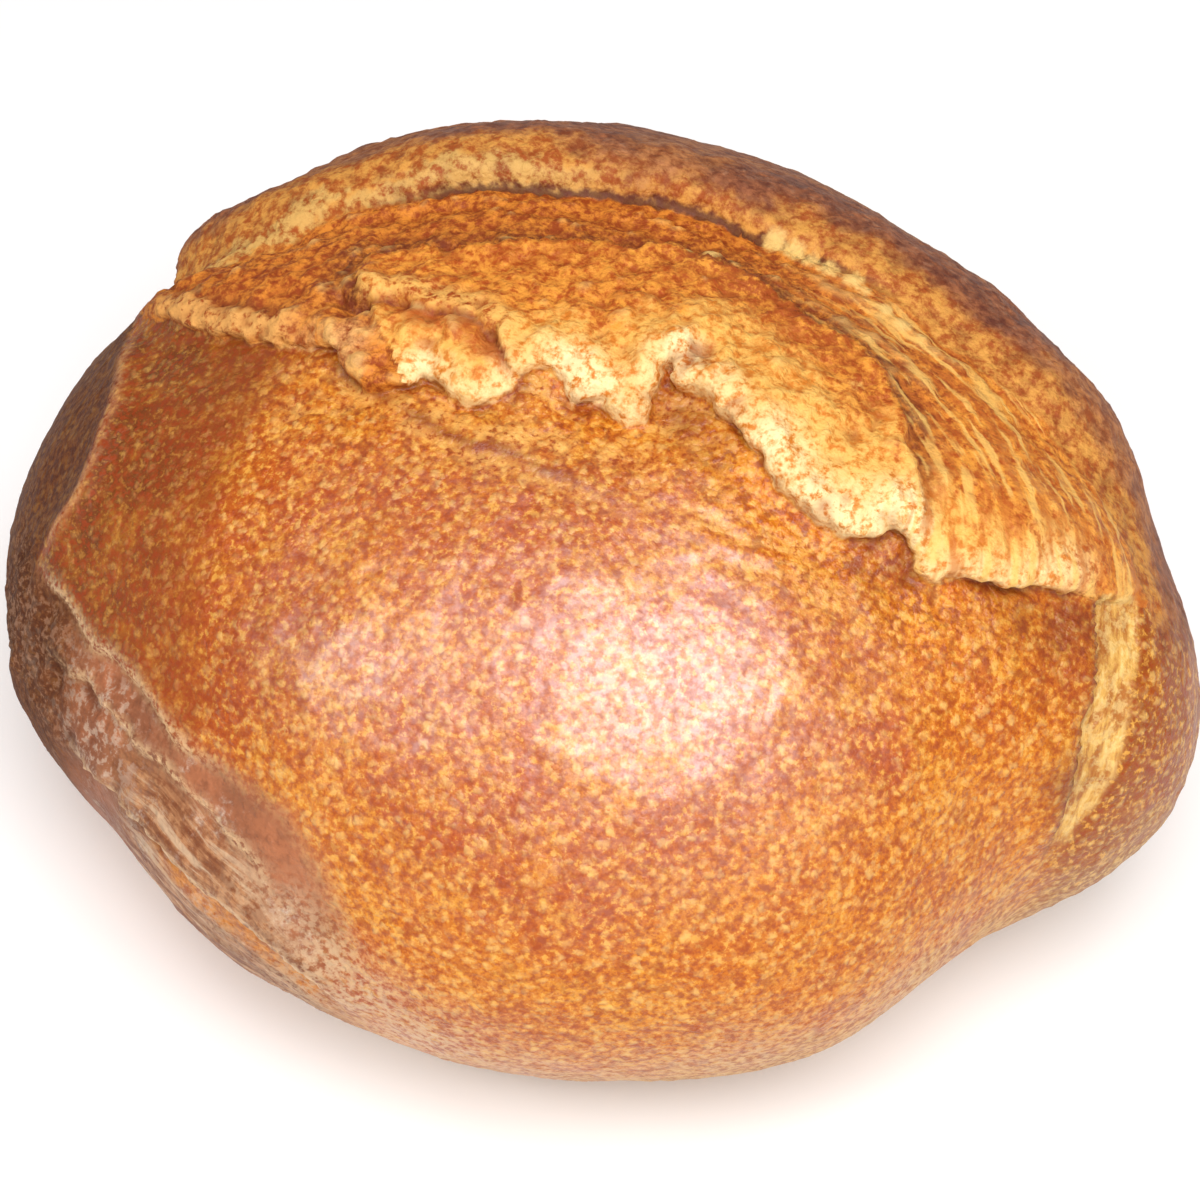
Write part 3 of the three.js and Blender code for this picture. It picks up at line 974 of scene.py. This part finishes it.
def crust_finish(names):
    """One finish for the loaf, with its parts told apart by the masks of those names."""
    material = bpy.data.materials.new("sourdough_crust")
    material.use_nodes = True
    material.node_tree.nodes.clear()
    wire = Wiring(material.node_tree)
    place = wire.add("ShaderNodeTexCoord", (), "Object")
    x, y, z = wire.node("ShaderNodeSeparateXYZ", {0: place}).outputs
    speckle = {"Place": place, "Size": 2.0 * MM, "Patchiness": 0.9}
    spots = wire.node("ShaderNodeGroup", speckle, node_tree=speckle_group()).outputs
    wander = wire.math("SUBTRACT", wire.noise(place, 2.6 * MM, 3.0), 0.5)
    mask = SimpleNamespace(**{name: wire.attribute(name) for name in names})
    mask.x, mask.z = x, z
    mask.light, mask.dark, mask.grain = spots["Light"], spots["Dark"], spots["Grain"]
    mask.crown = wire.span(z, 0.078, 0.09)
    mask.lip = wire.plus(mask.lip, wire.times(wander, 1.8))
    mask.crack = wire.plus(mask.crack, wire.times(wander, 2.5))
    flow = wire.add("ShaderNodeCombineXYZ", {
        "X": wire.times(mask.bearing, 0.07), "Y": wire.times(mask.arc, 0.55)})
    mask.strands = wire.noise(flow, 1.0, 2.5, 0.5)

    inside = wire.times(wire.span(mask.lip, -0.5, 0.4), mask.crown, wire.span(x, -0.106, -0.092))
    back = wire.times(wire.span(mask.crack, -1.2, 0.6), wire.span(y, -0.005, 0.015))
    drift = wire.times(wire.math("SUBTRACT", wire.noise(place, 16 * MM, 3.0, 0.6), 0.5), 0.06)
    round_ends = wire.span(wire.plus(y, drift), -0.006, 0.044)
    back = wire.plus(wire.times(back, wire.span(z, 0.074, 0.094)),
                     wire.times(round_ends, wire.span(z, 0.094, 0.074)))
    # Painted shadow down in the crack
    crack_shadow = wire.times(wire.span(wire.math("ABSOLUTE", mask.crack), 1.3, 0.3), mask.split)
    dabs = wire.plus(mask.dabs, wire.times(wire.math("SUBTRACT", mask.grain, 0.5), 0.8))
    # Painted highlights along the fold crests
    crest_highlights = wire.plus(mask.crest_0, mask.crest_1, mask.crest_2)
    # Painted shade for the left end: dark brown, with a few pale flecks
    painted_end_shade = wire.layers(wire.graded(mask.grain, 0.38, 0.6, (104, 56, 12), (66, 28, 2)), (
        ((138, 90, 44), mask.light, 0.5),
        ((158, 122, 98), mask.crumbled, wire.span(mask.grain, 0.5, 0.38), 0.5),
    ))
    # Scorched crust, with painted shade in the notches and pockets by the lip
    scorched = wire.times(mask.scorched, wire.noise(place, 4 * MM, 3.0), 1.25,
                          wire.span(inside, 0, 1, 1, 0))
    uneven = wire.times(wire.math("SUBTRACT", wire.noise(place, 12 * MM, 4.0, 0.6), 0.5), 0.05)
    low = wire.span(wire.plus(z, wire.times(x, -0.2), uneven), 0.046, 0.008)
    tan = wire.graded(mask.grain, 0.4, 0.6, (204, 170, 116), (158, 108, 58))
    sole = wire.graded(mask.grain, 0.38, 0.62, (150, 98, 52), (104, 60, 30))
    amount = wire.plus(wire.times(mask.flank, 0.20), wire.times(low, 0.20), 0.22)
    flour = {"Place": place, "Drift size": 9 * MM, "Amount": amount}
    dust = wire.add("ShaderNodeGroup", flour, "Cover", node_tree=flour_group())
    # Less flour shows under the left end's painted shade
    dust = wire.times(dust, wire.span(mask.left_end, 0, 1, 1, 0.2))
    colour = wire.layers(closed_crust(wire, place, mask), (
        (torn_dough(wire, place, mask), inside),
        (risen_ear(wire, place, mask), back),
        # Painted shadow in the crack
        ((78, 34, 20), crack_shadow, 0.85),
        ((230, 190, 112), wire.span(dabs, 0.3, 0.8, 0, 0.85)),
        (burst_strip(wire, place, mask), wire.span(mask.burst, 0.15, 0.8)),
        (floury_flank(wire, place, mask), mask.flank),
        ((206, 172, 134), mask.floured, wire.span(mask.grain, 0.62, 0.42), 0.8),
        # Painted highlights along the fold crests
        ((232, 192, 142), crest_highlights, wire.span(mask.grain, 0.64, 0.44), 0.85),
        # Painted shade over the left end
        (painted_end_shade, mask.left_end, 0.92),
        # Painted highlight along the left ridge
        ((190, 146, 110), mask.crest_3, wire.span(mask.grain, 0.64, 0.48), 0.4),
        # Scorched crust, and painted shade in the notches and pockets by the lip
        ((108, 44, 22), scorched),
        (tan, low, 0.8),
        (sole, wire.span(z, 0.007, 0.002)),
        ((220, 204, 184), dust, 0.6),
    ))

    dry = wire.plus(wire.times(mask.opening, 0.26), wire.times(mask.flank, 0.2),
                    wire.times(low, 0.2), wire.times(dust, 0.2), wire.times(back, 0.3),
                    wire.times(mask.left_end, 0.4), wire.times(mask.left_shoulder, 0.2))
    gloss = wire.plus(dry, wire.times(mask.dark, -0.05), 0.36)
    fine = wire.noise(place, 0.8 * MM, 3.0, 0.6)
    height = wire.plus(spots["Height"], wire.times(fine, 0.55))
    bump = wire.add("ShaderNodeBump", {"Strength": 0.6, "Distance": 0.4 * MM, "Height": height})
    speckled = wire.noise(place, 1.5 * MM, 3.0, 0.6)
    off_crown = wire.add("ShaderNodeVectorMath", {0: place, 1: (0.014, -0.05, 0.115)}, "Value",
                         operation="DISTANCE")
    sheen = wire.times(wire.span(speckled, 0.4, 0.6, 0.45, 1),
                       wire.span(z, 0.07, 0.1), wire.span(mask.lip, -6, -20),
                       wire.span(x, -0.094, -0.07), wire.span(x, 0.1, 0.08),
                       wire.span(mask.flank, 1, 0), wire.span(mask.crack, 0, -3),
                       wire.span(mask.left_shoulder, 1, 0),
                       wire.span(off_crown, 0.072, 0.045, 0.1, 1))
    shader = wire.add("ShaderNodeBsdfPrincipled", {
        "Base Color": colour, "Roughness": gloss, "Normal": bump, "Specular IOR Level": 0.32,
        "Coat Weight": sheen, "Coat Roughness": 0.34, "Coat IOR": 1.9})
    wire.node("ShaderNodeOutputMaterial", {"Surface": shader})
    return material


# ---------------------------------------------------------------- the loaf


def build_loaf():
    skin = Skin("loaf")
    grid = skin_grid(skin)
    tips = skin.points(np.array([0, math.pi]), np.array([0.0, 0.0]))
    points = np.vstack([grid.reshape(-1, 3), tips])
    faces = skin_faces()
    normals = vertex_normals(make_mesh(points, faces))
    made, masks = sculpt(skin, points, normals)
    mesh = make_mesh(made, faces)
    for name, values in masks.items():
        mesh.attributes.new(name, "FLOAT", "POINT").data.foreach_set(
            "value", values.astype(np.float32))
    mesh.shade_smooth()
    draft = bpy.data.objects.new("draft", mesh)
    bpy.context.scene.collection.objects.link(draft)
    return baked(draft, crust_finish(masks))


# ---------------------------------------------------------------- floor, light and camera


def floor():
    mesh = bpy.data.meshes.new("floor")
    half = 3.0
    corners = [(-half, -half, 0), (half, -half, 0), (half, half, 0), (-half, half, 0)]
    mesh.from_pydata(corners, [], [(0, 1, 2, 3)])
    material = bpy.data.materials.new("pale_floor")
    material.use_nodes = True
    shader = material.node_tree.nodes["Principled BSDF"]
    shader.inputs["Base Color"].default_value = paint(246, 245, 243)
    shader.inputs["Roughness"].default_value = 0.9
    shader.inputs["Emission Color"].default_value = (1, 1, 1, 1)
    shader.inputs["Emission Strength"].default_value = 0.08
    mesh.materials.append(material)
    made = bpy.data.objects.new("floor", mesh)
    bpy.context.scene.collection.objects.link(made)


def towards(azimuth, elevation):
    """Unit direction to a viewer or a lamp; azimuth 0 is in front, and 90 is on the right."""
    a, e = math.radians(azimuth), math.radians(elevation)
    return Vector((math.sin(a) * math.cos(e), -math.cos(a) * math.cos(e), math.sin(e)))


MIDDLE = Vector((0, 0, 0.058))  # what the camera and the lamps point at
CAMERA_TURN, CAMERA_RISE = 20, 53  # in degrees
CAMERA_AWAY = 0.62
SENSOR, LENS = 36, 92.07


def lamp(name, azimuth, elevation, distance, size, power, colour=(1, 1, 1)):
    data = bpy.data.lights.new(name, "AREA")
    data.size = size
    data.energy = power
    data.color = colour
    made = bpy.data.objects.new(name, data)
    bpy.context.scene.collection.objects.link(made)
    made.location = MIDDLE + towards(azimuth, elevation) * distance
    made.rotation_euler = towards(azimuth, elevation).to_track_quat("Z", "Y").to_euler()


def camera():
    data = bpy.data.cameras.new("camera")
    data.sensor_width = SENSOR
    data.lens = LENS
    made = bpy.data.objects.new("camera", data)
    bpy.context.scene.collection.objects.link(made)
    view = towards(CAMERA_TURN, CAMERA_RISE)
    made.location = MIDDLE + view * CAMERA_AWAY
    made.rotation_euler = view.to_track_quat("Z", "Y").to_euler()
    bpy.context.scene.camera = made


def studio():
    floor()
    lamp("overhead_softbox", 36, 69, 1.0, 0.6, 9.3, (1.0, 0.97, 0.99))
    lamp("left_softbox", -42, 47, 1.1, 0.34, 2.6)
    lamp("right_fill", 45, 30, 1.4, 1.7, 6.5)
    world = bpy.data.worlds.new("studio")
    world.use_nodes = True
    world.node_tree.nodes["Background"].inputs["Color"].default_value = (1, 1, 1, 1)
    world.node_tree.nodes["Background"].inputs["Strength"].default_value = 0.32
    bpy.context.scene.world = world
    bpy.context.scene.view_settings.view_transform = "Standard"


camera()
studio()
loaf = build_loaf()
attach(loaf, "root")
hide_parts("loaf")
